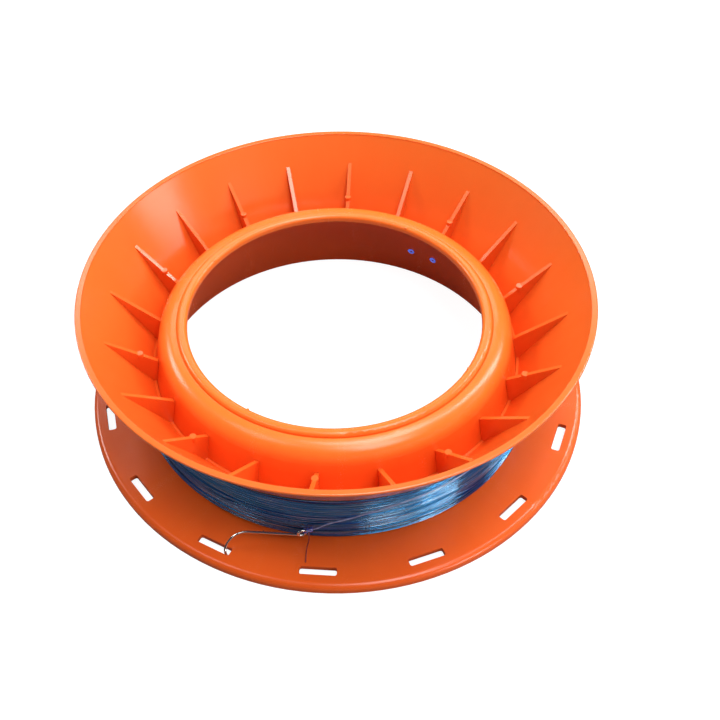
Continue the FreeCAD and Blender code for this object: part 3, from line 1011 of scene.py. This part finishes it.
@dataclass
class Studio:
    """Pale floor, soft lamps, white surroundings and the camera."""

    lamps: tuple[Lamp, ...] = (
        Lamp("front_low_box", -47.0, 10.0, 0.9, 0.28, 0.16, 1.9),
        Lamp("right_low_box", -6.0, 22.0, 0.9, 0.30, 0.26, 1.2),
        Lamp("right_tall_box", 20.0, 42.0, 0.9, 0.13, 0.60, 4.2),
        Lamp("back_strip", 90.0, 43.0, 1.0, 1.10, 0.12, 2.3),
        Lamp("back_left_box", 152.0, 30.0, 0.9, 0.26, 0.26, 2.6),
        Lamp("overhead", 35.0, 78.0, 1.0, 0.40, 0.40, 5.6),
        Lamp("front_overhead", -60.0, 64.0, 0.9, 0.32, 0.45, 3.9),
        Lamp("left_overhead", -165.0, 64.0, 0.9, 0.34, 0.30, 1.1),
    )
    floor_size: float = 12.0
    floor_colour: Colour = (0.22, 0.22, 0.22)
    floor_roughness: float = 0.9
    floor_glow: float = 0.94
    ambient: float = 0.11
    room_gloss: float = 0.05
    floor_gloss: float = 0.02
    target: Vector = field(default_factory=lambda: Vector((0, 0, 0.03)))
    lens: float = 49.84
    shift: tuple[float, float] = (0.0903, -0.0395)
    camera_distance: float = 0.38669
    camera_elevation: float = 45.9672
    camera_roll: float = -3.5627
    camera_offset: tuple[float, float] = (-0.01467, -0.01974)
    camera_aim: Vector = field(default_factory=lambda: Vector((0, 0, 0.0573)))
    nearest_seen: float = 0.01

    def seen_share(self, sheet: Sheet, in_gloss: float) -> bpy.types.NodeSocket:
        """Share of the white that a ray gets.

        Args:
            sheet: the sheet to place the nodes on.
            in_gloss: share in reflections.

        Returns:
            1 where seen straight or through something clear, in_gloss in gloss, 0 elsewhere.
        """
        path = sheet.place("ShaderNodeLightPath").outputs
        straight = sheet.math_of("MAXIMUM", path["Is Camera Ray"], path["Is Transmission Ray"])
        gloss = sheet.math_of("MULTIPLY", path["Is Glossy Ray"], in_gloss)
        return sheet.math_of("MAXIMUM", straight, gloss)

    def lay_floor(self) -> None:
        """Pale floor that keeps the spool's soft shadow."""
        deselect_all()
        bpy.ops.mesh.primitive_plane_add(size=self.floor_size, location=(0, 0, 0))
        floor = bpy.context.object
        floor.name = "floor"
        material, sheet, shader = new_material("pale_floor")
        shader.inputs["Base Color"].default_value = (*self.floor_colour, 1.0)
        shader.inputs["Roughness"].default_value = self.floor_roughness
        shader.inputs["Specular IOR Level"].default_value = 0.0
        glow = sheet.place("ShaderNodeEmission", {
            "Strength": sheet.math_of("MULTIPLY", self.seen_share(sheet, self.floor_gloss),
                                     self.floor_glow)})
        both = sheet.place("ShaderNodeAddShader", {
            0: shader.outputs["BSDF"], 1: glow.outputs["Emission"]})
        sheet.feed(material.node_tree.nodes["Material Output"].inputs["Surface"],
                   both.outputs["Shader"])
        floor.data.materials.append(material)

    def light_surroundings(self) -> None:
        """White surroundings that light the spool gently."""
        world = bpy.data.worlds.new("white_room")
        bpy.context.scene.world = world
        world.use_nodes = True
        sheet = Sheet(world.node_tree)
        seen = self.seen_share(sheet, self.room_gloss)
        diffuse = sheet.place("ShaderNodeLightPath").outputs["Is Diffuse Ray"]
        strength = sheet.math_of("ADD", seen, sheet.math_of("MULTIPLY", diffuse, self.ambient))
        background = world.node_tree.nodes["Background"]
        background.inputs["Color"].default_value = (1.0, 1.0, 1.0, 1.0)
        sheet.feed(background.inputs["Strength"], strength)

    def set_camera(self) -> None:
        """Camera above the front edge, turned a little on its own line of sight."""
        lift, roll = math.radians(self.camera_elevation), math.radians(self.camera_roll)
        back = Vector((0, -math.cos(lift), math.sin(lift)))
        level = Vector((1, 0, 0))
        upright = back.cross(level)
        right = level * math.cos(roll) + upright * math.sin(roll)
        above = upright * math.cos(roll) - level * math.sin(roll)
        place = (self.camera_aim + back * self.camera_distance
                 + right * self.camera_offset[0] + above * self.camera_offset[1])
        data = bpy.data.cameras.new("camera")
        data.lens = self.lens
        data.shift_x, data.shift_y = self.shift
        data.clip_start = self.nearest_seen
        camera = bpy.data.objects.new("camera", data)
        turn = Matrix((right, above, back)).transposed().to_4x4()
        camera.matrix_world = Matrix.Translation(place) @ turn
        bpy.context.scene.collection.objects.link(camera)
        bpy.context.scene.camera = camera

    def build(self) -> None:
        """Set up the whole studio."""
        self.lay_floor()
        self.light_surroundings()
        for lamp in self.lamps:
            lamp.hang(self.target)
        self.set_camera()
        bpy.context.scene.view_settings.view_transform = "Standard"


def empty_scene() -> None:
    """Remove what a new file holds."""
    for item in list(bpy.data.objects):
        bpy.data.objects.remove(item)


def main() -> None:
    """Build the pieces on the solid model and set the studio."""
    logging.basicConfig(level=logging.INFO, format="%(message)s")
    empty_scene()
    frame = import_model()
    build_skin_group()
    build_strand_group()
    nodes = frame["nodes"]
    Mouldings(nodes).dress()
    StowedHook(nodes["hook"]).dress()
    LineEnd(nodes["hook"]).build()
    LineLoad().build()
    Studio().build()


if __name__ == "__main__":
    main()
